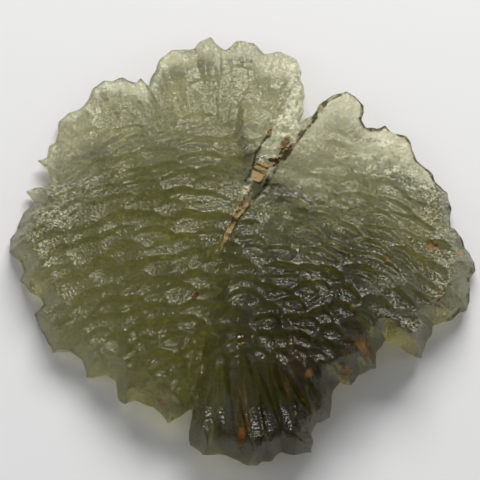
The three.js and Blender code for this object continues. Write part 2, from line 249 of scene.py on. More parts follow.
def near_right(x, y):
    """1 on the near right of the stone, its thickest part, and 0 elsewhere."""
    return ramp(4, -6, y) * ramp(-4, 1, x) * ramp(17.5, 13, x)


def body_share(x, y):
    """0 out on the two thin far lobes and 1 on the body of the stone, which reaches further out into the left
    lobe than into the right one."""
    left_lobe = ramp(-9, -5, x) * ramp(2, -2, x)
    return ramp(13.5, 3.5, y + 1.4 * np.clip(x + 0.5, 0, 4) - 2 * left_lobe)


def feathered(x, y):
    """1 where the left lobe thins out beside the cleft, and 0 elsewhere."""
    along, aside = along_and_aside(x, y, CLEFT_MOUTH)
    return ramp(3, 8, along) * ramp(-6, -1.5, aside) * ramp(1.5, 0.5, aside)


print("share of the body half way up the left lobe:", round(float(body_share(-3.0, 9.0)), 2))

# %% [markdown]
# ## Furrows
# The cleft between the far lobes runs on inwards as a furrow, and a shallower one, the crease, runs beside
# the near lobe. Both have straight sides, so a V is truer than a soft groove, and it gives the clay its
# walls.

# %% Furrows
def furrow(x, y, mouth, start, left, right, depth):
    """A V-shaped furrow that widens towards the rim, by its own share of the way along on each side: its
    depth falls off with the distance aside."""
    along, aside = along_and_aside(x, y, mouth)
    width = 0.2 + np.where(aside < 0, left, right) * np.maximum(along, 0)
    return depth * ramp(start - 1, start + 2, along) * np.maximum(0, 1 - np.abs(aside) / width)


def both_furrows(x, y):
    """The cleft, whose left wall is the gentler one, and the crease, which starts 8 mm out."""
    cleft = furrow(x, y, CLEFT_MOUTH, 0, 0.09, 0.035, CLEFT_DEPTH)
    crease = furrow(x, y, CREASE_MOUTH, 8, 0.06, 0.06, CREASE_DEPTH)
    return cleft, crease


print("cleft at its mouth:", round(float(both_furrows(*CLEFT_MOUTH)[0]), 2), "mm deep")

# %% [markdown]
# ## The etch
# In the middle of the stone the etch is rows of scale-like pits, each row an arc. Near the rim and on the
# near lobe it is drawn out into flutes that run to the edge, as acid follows the way the glass once flowed.
# The two are worked out everywhere and blended, which costs little and needs no border between them.

# %% Rows of pits and flutes
def fluted_share(x, y, inward):
    """How much the etch is drawn out towards the rim: 0 in the middle, 1 on the near lobe, and most of the
    way at the rim and out on the far lobes."""
    near = ramp(-8, -12, y) * ramp(-5, -2, x)
    return np.clip(0.8 * ramp(2, 0.3, inward) + near + 0.7 * ramp(9, 13, y), 0, 1)


def etch(x, y, inward, size, pattern, stretch=1.9):
    """Rows of pits, a stretch wider than long, that give way to flutes running out from the heart, five times
    as long as their size. Soft lumps make both sway."""
    sway = 0.8 * lumps(x, y, 4.3, pattern + 5)
    u, v = arched(x, y)
    rows = pits(u + sway, v + 0.45 * lumps(x, y, 3.1, pattern + 6), stretch * size, size, pattern)
    turn, reach = fanned(x, y)
    run = reach * np.clip(y / 6, -1, 1)
    flutes = pits(turn, run + 2 * sway, 0.9 * size, 5 * size, pattern + 9)
    share = fluted_share(x, y, inward)
    return rows * (1 - share) + flutes * share


print("fluted at the rim of the near lobe:", round(float(fluted_share(1.0, -18.0, 0.1)), 2))

# %% [markdown]
# ## Dome and rim
# The stone swells from its thin rim to a dome, and how fast it does so is what makes a part look blunt or
# sharp. The rim itself isn't level: it droops at the sides and rises at the near lobe. Its edge is rounded
# by a quarter of a circle above and another below, because a knife edge would show as a bright line.

# %% Swelling, rim height and lip
def fullness(x, y, inward, power):
    """0 at the rim and 1 from about FULL_INWARD on: one minus the square of what is left to go. The stone
    fills out sooner, so that its side is steeper, on the left, right and near side, and later on the far
    lobes."""
    left, right = ramp(-2, -10, x) * ramp(9, 3, y), ramp(8, 14, x) * ramp(9, 3, y)
    steep = np.maximum.reduce([0.45 * ramp(-4, -11, y), 0.6 * left, 0.6 * right])
    reach = FULL_INWARD * (1 - steep - 0.2 * near_right(x, y) + 0.35 * ramp(3, 10, y))
    return (1 - (1 - np.clip(inward / reach, 0, 1)) ** 2) ** power


def thickness(x, y):
    """The dome's share: small on the far lobes, larger on the body, less to the left and right of it, and
    largest on the near right."""
    body = body_share(x, y) * (1 - 0.45 * ramp(-5, -15, x) * ramp(11, 6, y) - 0.35 * ramp(9, 16, x))
    share = 0.1 + 0.62 * body + 0.52 * near_right(x, y) * (1 - 0.7 * near_lobe(x, y))
    return share * (1 - 0.6 * feathered(x, y))


def middle(x, y):
    """Height of the rim: it droops with the cube of the reach from the middle but is high at the near lobe,
    and has slow and quick waves in it."""
    level = MID_HEIGHT - DROOP * (np.hypot(x, y) / HALF_WIDTH) ** 3 + NEAR_RISE * near_lobe(x, y)
    level = level - LEFT_DROP * ramp(-6, -14, x) * ramp(7, 1, y)
    waves = 0.35 * lumps(x, y, 6.5, 40) + 0.3 * lumps(x, y, 2.6, 41)
    return np.maximum(level + waves, LOWEST_RIM)


def lip(x, y, inward):
    """The quarter-round profile of the rim: half its thickness at a distance in. The near lobe's broken end
    is 2.6 times as thick, and the far lobes are half as thick again."""
    half = LIP * (1 + 1.6 * near_lobe(x, y) + 0.5 * ramp(8, 13, y))
    return half * np.sqrt(1 - (1 - np.clip(inward / half, 0, 1)) ** 2)


print("dome half way in:", round(float(DOME * fullness(0.0, 0.0, FULL_INWARD / 2, 1.1)), 2), "mm")

# %% [markdown]
# ## The two faces
# Each face is one height for each place on the plan, as the solid has it. The top is the rim, the dome and
# the etch. The underside hangs down as a belly, and it is worn flat where the stone rests. A height for each
# place can't make an overhang, but a leaf of glass has none that anyone would miss.

# %% Heights of the underside and the top
PIT_MEAN = 0.6       # about the mean of a pattern of pits, which is taken off so that relief adds no height


def bottom_height(x, y, inward):
    """The rim's height less the lip, the belly and the etch, and worn down to 0 round the middle."""
    share = (0.17 + 0.83 * body_share(x, y)) * (1 - 0.7 * ramp(-9, -15, x))
    belly = BELLY * share * (1 - 0.6 * feathered(x, y)) * fullness(x, y, inward, 1.5)
    relief = 0.5 * lumps(x, y, 5.2, 60) - 0.6 * (etch(x, y, inward, 2.4, 70) - PIT_MEAN)
    fine = -0.3 * (etch(x, y, inward, 1.1, 160) - PIT_MEAN)
    hanging = middle(x, y) - lip(x, y, inward) - belly + ramp(0, 2.4, inward) * relief
    hanging = hanging + ramp(0, 1.5, inward) * fine
    worn = ramp(REST_HALF + 2.5, REST_HALF, np.hypot(x, y))
    return np.maximum(hanging * (1 - worn), 0)


def top_height(x, y, inward):
    """The rim's height, the lip, the dome and the etch, less the two furrows, and nowhere thinner than the
    rim. The etch is deepest on the near side and shallowest on the far lobes."""
    rise = LOBE_LEVEL + DOME * thickness(x, y) - middle(x, y)
    dome = rise * fullness(x, y, inward, 1.25)
    depth = 0.76 * (1 + 0.5 * ramp(1, -8, y) - 0.45 * ramp(8, 14, y))
    relief = 0.45 * lumps(x, y, 4.6, 11) + depth * (etch(x, y, inward, 1.35, 20) - PIT_MEAN)
    cleft, crease = both_furrows(x, y)
    swollen = middle(x, y) + lip(x, y, inward) + dome + ramp(0, 0.8, inward) * (relief - cleft - crease)
    return np.maximum(swollen, bottom_height(x, y, inward) + 2 * lip(x, y, inward))


crown = top_height(*HEART, distance_to_rim(*HEART))
print("top at the heart:", round(float(crown), 2), "mm")

# %% [markdown]
# ## Fine etch
# The solid stops at pits of a millimetre or so. Below that come finer sets that only a dense mesh can hold:
# scales, small pits, grain, and narrow flutes across the rim. They are what catches the light. They are
# deepest on the slopes that fall away from the viewer, which the acid reached first, and they fade at the
# very rim, so that the two faces still meet in one line.

# %% Finer pits on the top
FALL_STEP = 0.25     # in mm: heights this far apart give the slope
FINE_MEAN = 0.55


def fine_etch(x, y, inward):
    """Scales, small pits and grain, in millimetres about their mean, and flutes across the rim."""
    scales = etch(x, y, inward, 0.9, 120, 2.2) - FINE_MEAN
    small = etch(x, y, inward, 0.62, 140, 2.3) - FINE_MEAN
    grain = pits(x, y, 0.42, 0.36, 200) - FINE_MEAN
    flutes = pits(*fanned(x, y), 0.8, 2.6, 210) - FINE_MEAN
    at_rim = ramp(2.6, 0.8, inward)
    return 0.20 * scales + 0.12 * small + 0.06 * grain + 0.22 * at_rim * flutes


def north_fall(x, y, inward):
    """How steeply the solid's top falls towards +Y, as rise over run."""
    before = top_height(x, y - FALL_STEP, inward)
    after = top_height(x, y + FALL_STEP, inward)
    return (before - after) / (2 * FALL_STEP)


def etched_top(x, y, inward):
    """The solid's top with the fine etch, which is deepest on the slopes that fall towards +Y and fades out
    at the very rim."""
    rough = 0.6 + 0.4 * ramp(0, 0.3, north_fall(x, y, inward))
    return top_height(x, y, inward) + ramp(0, 0.35, inward) * rough * fine_etch(x, y, inward)


etched_crown = etched_top(*HEART, distance_to_rim(*HEART))
print("the fine etch moves it by", round(float(etched_crown - crown), 2), "mm")

# %% [markdown]
# ## The grid
# A sheet for a leaf could be cut from a square lattice, but its edge would come out in stairs. A fan of rays
# from the middle follows the rim, but it crowds the middle with slivers. This grid does both: its points are
# those of a square, ring by ring, and each ring is drawn out into the shape of the rim. The rings lie closer
# towards the rim. The top has twice the rings of the underside, because its detail is seen.

# %% Rings of grid points
TOP_RINGS = 140
BOTTOM_RINGS = 70
CORNER_SHARE = 0.3    # in mm: added to each step between corners, so that short steps get points too
CROWDING = 0.35       # how much the rings crowd towards the rim, from 0 for evenly to 1

side_steps = np.hypot(*np.diff(CLOSED_RIM, axis=0).T) + CORNER_SHARE
walked = np.concatenate([[0], np.cumsum(side_steps)]) / side_steps.sum()


def ring_grid(rings):
    """Plan places of a square grid's points, the ring that each is on and its step round that ring. A point's
    ring is the larger of its two counts from the middle, and ring k has 8k points. A ring is the rim scaled
    towards the heart."""
    a, b = np.meshgrid(np.arange(-rings, rings + 1), np.arange(-rings, rings + 1), indexing="ij")
    ring = np.maximum(abs(a), abs(b))
    step = np.select([(a == ring) & (b > -ring), b == ring, a == -ring],
                     [b, 2 * ring - a, 4 * ring - b], 6 * ring + a)
    step = step % np.maximum(8 * ring, 1)
    fraction = step / np.maximum(8 * ring, 1)
    t = ring / rings
    s = (1 - CROWDING) * t + CROWDING * np.sin(t * math.pi / 2)
    x = HEART[0] + (np.interp(fraction, walked, CLOSED_RIM[:, 0]) - HEART[0]) * s
    y = HEART[1] + (np.interp(fraction, walked, CLOSED_RIM[:, 1]) - HEART[1]) * s
    return x, y, ring, step


def grid_quads(index):
    """The four-sided faces between the points of a grid of indices."""
    corners = [index[:-1, :-1], index[1:, :-1], index[1:, 1:], index[:-1, 1:]]
    return np.stack(corners, -1).reshape(-1, 4)


print("points on top:", (2 * TOP_RINGS + 1) ** 2, "points below:", (2 * BOTTOM_RINGS + 1) ** 2)

# %% [markdown]
# ## Nibbles
# Straight steps between the rim's corners would look cut with scissors. The real edge is bitten at a smaller
# scale. Moving every point near the rim sideways by a soft pattern bends the top, the underside and the lip
# together, so they still meet.

# %% A sideways shift near the rim
NIBBLE = 0.13         # in mm
NIBBLE_FADE = 1.2     # in mm
NIBBLE_SIZE = 0.75    # in mm


def nibbled(x, y, inward):
    """Plan places moved by two patterns of lumps, by NIBBLE at the rim and not at all from NIBBLE_FADE in."""
    fade = NIBBLE * ramp(NIBBLE_FADE, 0, inward)
    return x + fade * lumps(x, y, NIBBLE_SIZE, 80), y + fade * lumps(x, y, NIBBLE_SIZE, 81)


print("the rim moves by up to", NIBBLE, "mm each way")

# %% [markdown]
# ## Two sheets
# The top and the underside are two sheets on the same kind of grid. Both end at the rim, at the height of
# the lip's middle, so the underside needs no rim points of its own: it borrows the top's. Every point has a
# number, and the tables of numbers below are what the faces are made from.

# %% Points of both sheets
def sheet_points(rings, height):
    """The points of one face as a grid, with the rim at the height of the lip's middle."""
    x, y, ring, step = ring_grid(rings)
    inward = np.where(ring == rings, 0, distance_to_rim(x, y))
    z = np.where(ring == rings, middle(x, y), height(x, y, inward))
    px, py = nibbled(x, y, inward)
    return np.stack([px, py, z], -1), ring, step


top, top_ring, top_step = sheet_points(TOP_RINGS, etched_top)
bottom, bottom_ring, bottom_step = sheet_points(BOTTOM_RINGS, bottom_height)
inside = (slice(1, -1), slice(1, -1))
below = bottom[inside].reshape(-1, 3)
stone_points = np.vstack([top.reshape(-1, 3), below])

top_index = np.arange(top[..., 0].size).reshape(top.shape[:2])
bottom_index = np.full(bottom.shape[:2], -1)
bottom_index[inside] = top_index.size + np.arange(len(below)).reshape(bottom_index[inside].shape)
print("points of the stone:", len(stone_points))

# %% [markdown]
# ## A strip that joins them
# The top's rim has two steps for each step of the underside's. The outermost strip of the underside is made
# of triangles that join the one to the other, and the surface is closed. At the grid's four corners two of
# the strip's inner points are the same one, and there a triangle drops out. The underside's faces are listed
# the other way round, so that they point down.

# %% Faces of the stone
def rim_order(ring, step, rings):
    """Row and column of each point of the outermost ring, in walking order."""
    rows, columns = np.nonzero(ring == rings)
    order = np.argsort(step[rows, columns])
    return rows[order], columns[order]


fine_rim = top_index[rim_order(top_ring, top_step, TOP_RINGS)]
rows, columns = rim_order(bottom_ring, bottom_step, BOTTOM_RINGS)
last = 2 * BOTTOM_RINGS - 1
inner = bottom_index[np.clip(rows, 1, last), np.clip(columns, 1, last)]
next_inner = np.roll(inner, -1)
start, half_way, end = fine_rim[0::2], fine_rim[1::2], np.roll(fine_rim[0::2], -1)
strip = np.vstack([
    np.stack([start, inner, half_way], -1),
    np.stack([half_way, next_inner, end], -1),
    np.stack([half_way, inner, next_inner], -1)[inner != next_inner],
])
upper_faces = grid_quads(top_index).tolist()
lower_faces = grid_quads(bottom_index[inside])[:, ::-1].tolist()
stone_faces = upper_faces + lower_faces + strip.tolist()
print("faces above:", len(upper_faces), "below:", len(lower_faces), "in the strip:", len(strip))

# %% [markdown]
# ## From arrays to a mesh
# A helper turns points and faces into a Blender object at the origin, with smooth shading, and says how many
# triangles it has and whether any edge lacks one of its two faces. Every piece below goes through it.

# %% A helper for meshes
def mesh_object(name, points_mm, faces, masks=None):
    """A smooth mesh object at the origin, from points in millimetres."""
    mesh = bpy.data.meshes.new(name)
    mesh.from_pydata((np.asarray(points_mm) * MM).tolist(), [], faces)
    mesh.polygons.foreach_set("use_smooth", np.ones(len(mesh.polygons), dtype=bool))
    for title, values in (masks or {}).items():
        mesh.attributes.new(title, "FLOAT", "POINT").data.foreach_set("value", values.astype(np.float32))
    mesh.update()
    made = bpy.data.objects.new(name, mesh)
    bpy.context.scene.collection.objects.link(made)
    triangles = sum(len(face) - 2 for face in faces)
    open_edges = 2 * len(mesh.edges) - len(mesh.loops)
    print(f"{name}: {len(points_mm)} points, {triangles} triangles, {open_edges} open edges")
    return made


print("every piece stands at the origin, in metres")

# %% [markdown]
# ## Marks on the glass
# Looked at closely, the glass isn't the same all over. Iron has left rusty stains in hollows. Along the
# cleft's wall, along a crack beside it and at the very rim at the right and the left, the glass is painted
# near-black as shade. Beside the cleft and on a few ridges at the right the etch has turned the glass white.
# All of these are places, so they are lists: a stain is an ellipse with a tone, and a line of painted shade,
# like a white edge, is a line through points.

# %% Places of the marks, in millimetres
# Each stain: x, y, half length, half width, degrees from +X, and a tone from 0.35 for tan to 1 for dark red.
STAINS = [
    (-3.9, -4.3, 0.50, 0.33, 70, 0.90), (0.0, -16.3, 1.45, 0.50, 83, 0.66),
    (3.8, -12.1, 1.10, 0.28, 100, 0.56), (5.6, -11.2, 0.65, 0.45, 60, 0.62),
    (10.3, -8.7, 1.05, 0.80, 120, 0.60), (8.9, -10.8, 0.65, 0.50, 0, 0.54),
    (16.2, 0.1, 0.70, 0.55, 20, 0.56), (18.8, -0.3, 0.45, 0.30, 0, 0.48),
    (12.4, -1.5, 0.60, 0.28, 130, 0.54), (9.1, -1.7, 0.32, 0.18, 0, 0.42),
    (9.3, -5.6, 0.35, 0.28, 30, 0.46), (-6.9, -13.2, 0.50, 0.35, 150, 0.50),
    (-18.1, -3.0, 0.40, 0.32, 100, 0.44), (16.7, -4.5, 0.36, 0.20, 80, 0.56),
    (2.4, 10.0, 0.65, 0.26, 75, 0.58), (3.7, 9.2, 0.85, 0.45, 40, 0.88),
]
# Each wash is a wide and faint stain: x, y, half length, half width and degrees.
BROWN_WASHES = [
    (4.6, -9.8, 3.2, 1.9, 105), (9.6, -9.2, 2.0, 1.3, 30), (-7.5, -12.8, 2.4, 1.1, 160),
    (0.2, -14.5, 3.0, 1.2, 95), (16.5, -0.2, 1.8, 1.3, 30),
]
# the line of the cleft's wall, along which near-black painted shade lies
SHADED_CLEFT_WALL = [(8.8, 13.8), (7.3, 13.0), (6.2, 11.3), (5.2, 10.1), (3.9, 8.2), (2.85, 7.0), (2.15, 5.8),
             (1.6, 4.9), (0.9, 4.2)]
# a crack, painted near-black as shade
LEFT_CRACK = [(2.1, 9.7), (1.2, 8.3), (0.9, 7.0), (0.3, 5.8)]
FROSTED = [(0.5, 4.7), (1.2, 5.6)]
WHITE_EDGE = [(4.7, 15.6), (4.7, 12.3), (3.6, 10.6), (2.6, 8.9), (1.5, 5.7), (0.9, 4.8)]
WHITE_RIDGES = [[(10.9, 6.9), (13.0, 8.4)], [(11.0, 8.1), (12.8, 9.5)], [(12.4, 6.6), (14.2, 7.6)],
                [(14.2, 5.2), (16.4, 5.6)]]
print("stains:", len(STAINS), "washes:", len(BROWN_WASHES), "white ridges:", len(WHITE_RIDGES))

# %% [markdown]
# ## Two brushes
# A spot and a line are enough to lay every mark down. Both fade out softly, because noise in the material
# frays their edges later: a hard edge here would look like a sticker.

# %% Brushes for spots and lines
def spot(x, y, cx, cy, half_length, half_width, degrees):
    """1 in the middle of an ellipse that is turned by some degrees, and fading to 0 half its size beyond."""
    c, s = math.cos(math.radians(degrees)), math.sin(math.radians(degrees))
    u = ((x - cx) * c + (y - cy) * s) / half_length
    v = ((y - cy) * c - (x - cx) * s) / half_width
    return ramp(1.5, 0.1, np.hypot(u, v))


def near_line(x, y, line, half):
    """1 within half of a line through points, and 0 from twice as far."""
    return ramp(2 * half, half, distance_to_steps(x, y, line))


print("half way out of a spot:", round(float(spot(0.75, 0.0, 0, 0, 1, 1, 0)), 2))

# %% [markdown]
# ## Masks for the glass
# A mask is a number from 0 to 1 for every point of the mesh, which the material reads by name. Painting an
# image would need the stone to be unwrapped, and would blur where the mesh doesn't. Slopes that fall away
# from the viewer are rough with tiny pits, while the walls between them are glassy. The near right is darker
# and browner, with dark strands on the near lobe: partly a browner glass and partly painted shade. Pale
# specks along the sides, on the crown and on the far lobes are painted glints, and beside the cleft they are
# frost.

# %% Rough, darker, white and frosty parts, with painted shade and painted glints
def rough_parts(x, y, inward):
    """1 where the glass is pitted: on slopes towards +Y, on the near left, in the cleft and near the rim."""
    slopes = ramp(0, 0.3, north_fall(x, y, inward))
    left = ramp(-4, -11, x) * ramp(-11, -4, y)
    cleft = near_line(x, y, SHADED_CLEFT_WALL, 1.3)
    return np.maximum.reduce([slopes, left, cleft, 0.8 * ramp(2.5, 0.5, inward)])


def smoky_parts(x, y):
    """How dark and brown the glass is painted: the near right with a wavy border and the teeth beyond it,
    strands on the near lobe, and the left lobe's tip. It is partly a browner glass and partly painted shade."""
    drift_x, drift_y = 2 * lumps(x, y, 3.0, 301), 2 * lumps(x, y, 3.0, 300)
    near_right_darkening = 0.68 * ramp(3, -6, y + drift_y) * ramp(-2.5, 4.5, x + drift_x) * ramp(19, 14.5, x + drift_y)
    strands = 0.35 * ramp(-0.3, 0.4, lumps(x, y / 5, 0.8, 302)) + 0.10 + 0.12 * ramp(-13, -16, y)
    tip = 0.2 * ramp(15.2, 17.2, y) * ramp(-6, -4, x)
    right_teeth = 0.48 * ramp(-4.5, -6.5, y) * ramp(8, 12, x)
    return np.maximum(near_right_darkening + near_lobe(x, y) * strands + tip, right_teeth)


def white_parts(x, y):
    """1 along the white edge of the cleft, at its inner end, and on the white ridges."""
    edge, inner_end = near_line(x, y, WHITE_EDGE, 0.5), near_line(x, y, FROSTED, 0.4)
    ridges = [0.9 * near_line(x, y, ridge, 0.16) for ridge in WHITE_RIDGES]
    return np.maximum.reduce([edge, inner_end, *ridges])


def frosty_parts(x, y, inward):
    """Pale patches: frost beside the cleft, and painted glints on both sides, on the crown and thinly on the
    far lobes.
    """
    sides = ramp(7, 1.5, inward) * np.maximum(ramp(-9, -13, x), ramp(9, 13, x))
    beside = np.maximum(0.5 * near_line(x, y, SHADED_CLEFT_WALL, 2.0), near_line(x, y, WHITE_EDGE[:3], 1.3))
    crown = ramp(14.5, 17, y) * ramp(4.5, 3, inward)
    patchy = 0.65 + 0.35 * lumps(x, y, 2.4, 304)
    return np.maximum.reduce([sides, beside, 0.9 * crown, 0.45 * ramp(5, 9, y)]) * patchy


print("smoke at the heart:", round(float(smoky_parts(*HEART)), 2))

# %% [markdown]
# ## Masks for stains and painted shade
# Stains and the near-black lines of painted shade share one mask for how strong they are, and a second for
# their tone. So the material needs one film of dirt and painted shade, not two. Where marks overlap, the
# strongest gives the tone.

# %% Stained parts and lines of painted shade
RUST_TONE = 0.6     # the tone of washes, and of everything unstained
# the tone of the near-black painted shade along the cleft's wall, a crack and the rim
PAINTED_SHADE_TONE = 1.6
WASH = 0.38         # how strong a wash is beside a stain


def painted_shade_lines(x, y, inward):
    """Broken near-black lines of painted shade: along the cleft's wall, along a crack to its left, and as an
    outline at the right and the left rim.
    """
    far_right = np.maximum(ramp(8, 10, x) * ramp(-3, 0, y), 0.8 * ramp(17, 18, x))
    outline = ramp(0.42, 0.12, inward) * np.maximum(far_right, 0.45 * ramp(-12, -16, x))
    wall, crack = near_line(x, y, SHADED_CLEFT_WALL, 0.16), near_line(x, y, LEFT_CRACK, 0.08)
    return np.maximum.reduce([wall, crack, outline]) * np.clip(0.85 + 0.6 * lumps(x, y, 0.42, 303), 0, 1)


def stains_shade_and_tone(x, y, inward):
    """How much each point is covered by stains and by lines of painted shade, and the tone of the strongest
    of them there.
    """
    stained, tone = np.zeros_like(x), np.full_like(x, RUST_TONE)
    for *place, shade in STAINS:
        here = spot(x, y, *place)
        tone = np.where(here > stained, shade, tone)
        stained = np.maximum(stained, here)
    washed = WASH * np.maximum.reduce([spot(x, y, *place) for place in BROWN_WASHES])
    stained = np.maximum(stained, washed)
    shade_lines = painted_shade_lines(x, y, inward)
    return np.maximum(stained, shade_lines), np.where(shade_lines > stained, PAINTED_SHADE_TONE, tone)


print("crack in the cleft's wall:", round(float(painted_shade_lines(*SHADED_CLEFT_WALL[3], 2.0)), 2))

# %% [markdown]
# ## All masks together
# The masks are worked out for the mesh's own points. The underside gets no white, no frost and painted
# glints, and no stains and painted shade, since it is only seen through the glass, where a dull patch would
# look like a hole.

# %% Masks at the stone's points
plan_x, plan_y = stone_points[:, 0], stone_points[:, 1]
reach_in = distance_to_rim(plan_x, plan_y)
on_top = (np.arange(len(stone_points)) < top_index.size).astype(float)
stained, film_tone = stains_shade_and_tone(plan_x, plan_y, reach_in)
masks = {
    "gritty": rough_parts(plan_x, plan_y, reach_in),
    "smoky": smoky_parts(plan_x, plan_y),
    "white": white_parts(plan_x, plan_y) * on_top,
    "frost": frosty_parts(plan_x, plan_y, reach_in) * on_top,
    "stained": stained * on_top,
    "tone": film_tone,
}
for title, values in masks.items():
    print(title, "on average", round(float(values.mean()), 3))

# %% [markdown]
# ## The stone in its frame
# The mesh becomes an object, and three calls tie it to the packed model: it rides on the root body, it takes
# the place of the solid of the same shape, and it wears the glass.

# %% Stand the stone in its frame
stone = mesh_object("stone", stone_points, stone_faces, masks)
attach(stone, "root")
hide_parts("moldavite")

# %% [markdown]
# ## Bodies swept along a line
# The cleft still holds some of the clay that the stone was dug out of. Clay that dries in a groove keeps the
# groove's shape below and is level above. So a body is swept along a line: at each station a ring of points
# goes round it, whose lower half is sunk into the glass and whose upper half is filled level between the
# walls, with crumbly edges. It is closed, so it could be cast or weighed.

# %% A body along a line
RING = 20          # points round a body
SINK = 0.15        # in mm: how deep a body is set into the glass
COVER = 0.05       # in mm: how far it stands above the glass at least
RAGGED = 0.3       # share of its half width by which its edges wander


def surface(x, y):
    """Height of the finished top at points of the plan."""
    return etched_top(x, y, distance_to_rim(x, y))


def tube_faces(stations):
    """Four-sided faces between the rings, and one many-sided face at each end."""
    number = np.arange(stations * RING).reshape(stations, RING)
    turned = np.roll(number, -1, axis=1)
    sides = np.stack([number[:-1], number[1:], turned[1:], turned[:-1]], -1).reshape(-1, 4)
    return [*sides.tolist(), number[0].tolist(), number[-1, ::-1].tolist()]


def swept(line, halves, crown, stations, pattern, fill=1.0):
    """Points and faces of a body along a line of plan points, with its half width at each of them. Its ends
    are rounded: they narrow with the square root of one minus the eighth power of the way from the middle.
    Its top is level with the mean of the glass at its two edges or, if that is higher, at fill below the
    highest glass under the station. A crown and grain are added, and it is never under the glass."""
    line = np.array(line, dtype=float)
    t = np.linspace(0, 1, stations)
    knots = np.linspace(0, 1, len(line))
    cx, cy = np.interp(t, knots, line[:, 0]), np.interp(t, knots, line[:, 1])
    dx, dy = np.gradient(cx), np.gradient(cy)
    length = np.hypot(dx, dy)
    right_x, right_y = dy / length, -dx / length
    taper = np.sqrt(np.clip(1 - (2 * t - 1) ** 8, 0.01, 1))
    half = np.interp(t, knots, halves) * taper
    left_edge = surface(cx - right_x * half, cy - right_y * half)
    right_edge = surface(cx + right_x * half, cy + right_y * half)

    angle = np.linspace(0, 2 * math.pi, RING, endpoint=False)
    across, up = np.cos(angle)[None, :], np.sin(angle)[None, :]
    wander = RAGGED * lumps(t[:, None] * 14 + across, across * 2, 1.0, pattern)
    ragged = half[:, None] * (1 + wander)
    x = cx[:, None] + right_x[:, None] * ragged * across
    y = cy[:, None] + right_y[:, None] * ragged * across
    under = surface(x, y)
    level = np.maximum((left_edge + right_edge)[:, None] / 2, under.max(axis=1, keepdims=True) - fill)
    grain = 0.10 * lumps(x, y, 0.35, pattern + 1) + 0.06 * lumps(x, y, 0.16, pattern + 2)
    filled = level + (crown + grain) * up * taper[:, None]
    filled = np.maximum(filled, under + (COVER + 0.5 * grain) * up)
    z = np.where(up > 0, filled, under + SINK * up)
    return np.stack([x, y, z], -1).reshape(-1, 3), tube_faces(stations)


print("faces of a body with 8 stations:", len(tube_faces(8)))

# %% [markdown]
# ## Clay in the cleft
# Two larger pieces of clay are left: a tan strip that widens outwards from the cleft's inner end, and a
# block further on, which stands as high as the glass beside it. Each takes the place of the solid bar that
# the packed model has there. Both use a helper that the crumbs use too, where many bodies make one piece.

# %% Strip and block
def joined(bodies):
    """One list of points and one of faces from several bodies."""
    points, faces, first = [], [], 0
    for body_points, body_faces in bodies:
        points.append(body_points)
        faces.extend([first + corner for corner in face] for face in body_faces)
        first += len(body_points)
    return np.vstack(points), faces


def clay_object(name, bodies, tones, node=None):
    """A piece of clay from one or more bodies, each with its own tone."""
    points, faces = joined(bodies)
    tone = np.concatenate([np.full(len(body[0]), tone) for body, tone in zip(bodies, tones)])
    made = mesh_object(name, points, faces, {"tone": tone})
    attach(made, "root")
    if node:
        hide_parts(node)
    return made


strip_line = [(-1.8, -0.5), (-1.25, 0.9), (-0.75, 2.1), (-0.15, 3.3), (0.4, 4.1)]
strip_body = swept(strip_line, [0.12, 0.24, 0.32, 0.40, 0.46], 0.08, 90, 400)
clay_strip = clay_object("clay_strip", [strip_body], [0.42], "clay_lower")
block_line = [(1.15, 5.75), (1.4, 6.4), (1.7, 7.0), (1.95, 7.55)]
block_body = swept(block_line, [0.34, 0.5, 0.6, 0.62], 0.05, 60, 410, 0.0)
clay_block = clay_object("clay_block", [block_body], [0.40], "clay_upper")

# %% [markdown]
# ## Crumbs
# Loose grains of clay, from chalk white to dark red-brown, lie along the cleft and in a pit on the near
# side, and one larger one lies across the cleft. Two groups of chalk-white specks among them, one along the
# cleft and one on top of the orange crumb in the pit, are painted glints. They are short swept bodies,
# scattered by a seeded generator so that they fall in the same places every time. All of them are one piece,
# since nobody will ever pick one up alone.

# %% Scatter the crumbs
CRUMB_AND_SPECK_HALF = (0.05, 0.12)    # in mm: half the length of the smallest and of the largest crumb
CRUMB_AND_SPECK_STATIONS = 8

# Each field: centre x and y, spread along and across, degrees, how many, lowest and highest tone. About two
# in three crumbs lie within half the spread of the centre.
# The chalk-white third field, along the cleft, and eighth field, on top of the orange crumb, are painted
# glints.
CRUMB_AND_GLINT_FIELDS = [
    (3.75, 8.75, 0.8, 0.3, 45, 16, 0.7, 1.0), (2.35, 10.1, 0.7, 0.12, 75, 6, 0.5, 0.75),
    (1.95, 7.95, 0.5, 0.12, -15, 16, 0.0, 0.12), (2.9, 7.4, 0.4, 0.2, 60, 7, 0.85, 1.0),
    (-0.3, 2.8, 2.4, 0.5, 60, 60, 0.2, 0.85), (0.4, 4.9, 0.7, 0.4, 60, 14, 0.05, 0.35),
    (-0.1, -8.6, 0.5, 0.3, 10, 16, 0.40, 0.66), (-0.2, -8.1, 0.3, 0.12, 10, 5, 0.0, 0.2),
]
rng = np.random.default_rng(5)
crumbs_and_glint_specks, crumb_and_speck_tones = [], []
for cx, cy, spread_along, spread_across, degrees, count, low, high in CRUMB_AND_GLINT_FIELDS:
    turn = math.radians(degrees)
    for _ in range(count):
        along, aside = rng.normal(0, 0.5, 2) * (spread_along, spread_across)
        x = cx + along * math.cos(turn) - aside * math.sin(turn)
        y = cy + along * math.sin(turn) + aside * math.cos(turn)
        half, way = rng.uniform(*CRUMB_AND_SPECK_HALF), rng.uniform(0, math.pi)
        ends = [(x - half * math.cos(way), y - half * math.sin(way)),
                (x + half * math.cos(way), y + half * math.sin(way))]
        crumbs_and_glint_specks.append(swept(ends, [half, half], half, CRUMB_AND_SPECK_STATIONS, 420 + len(crumbs_and_glint_specks)))
        crumb_and_speck_tones.append(rng.uniform(low, high))
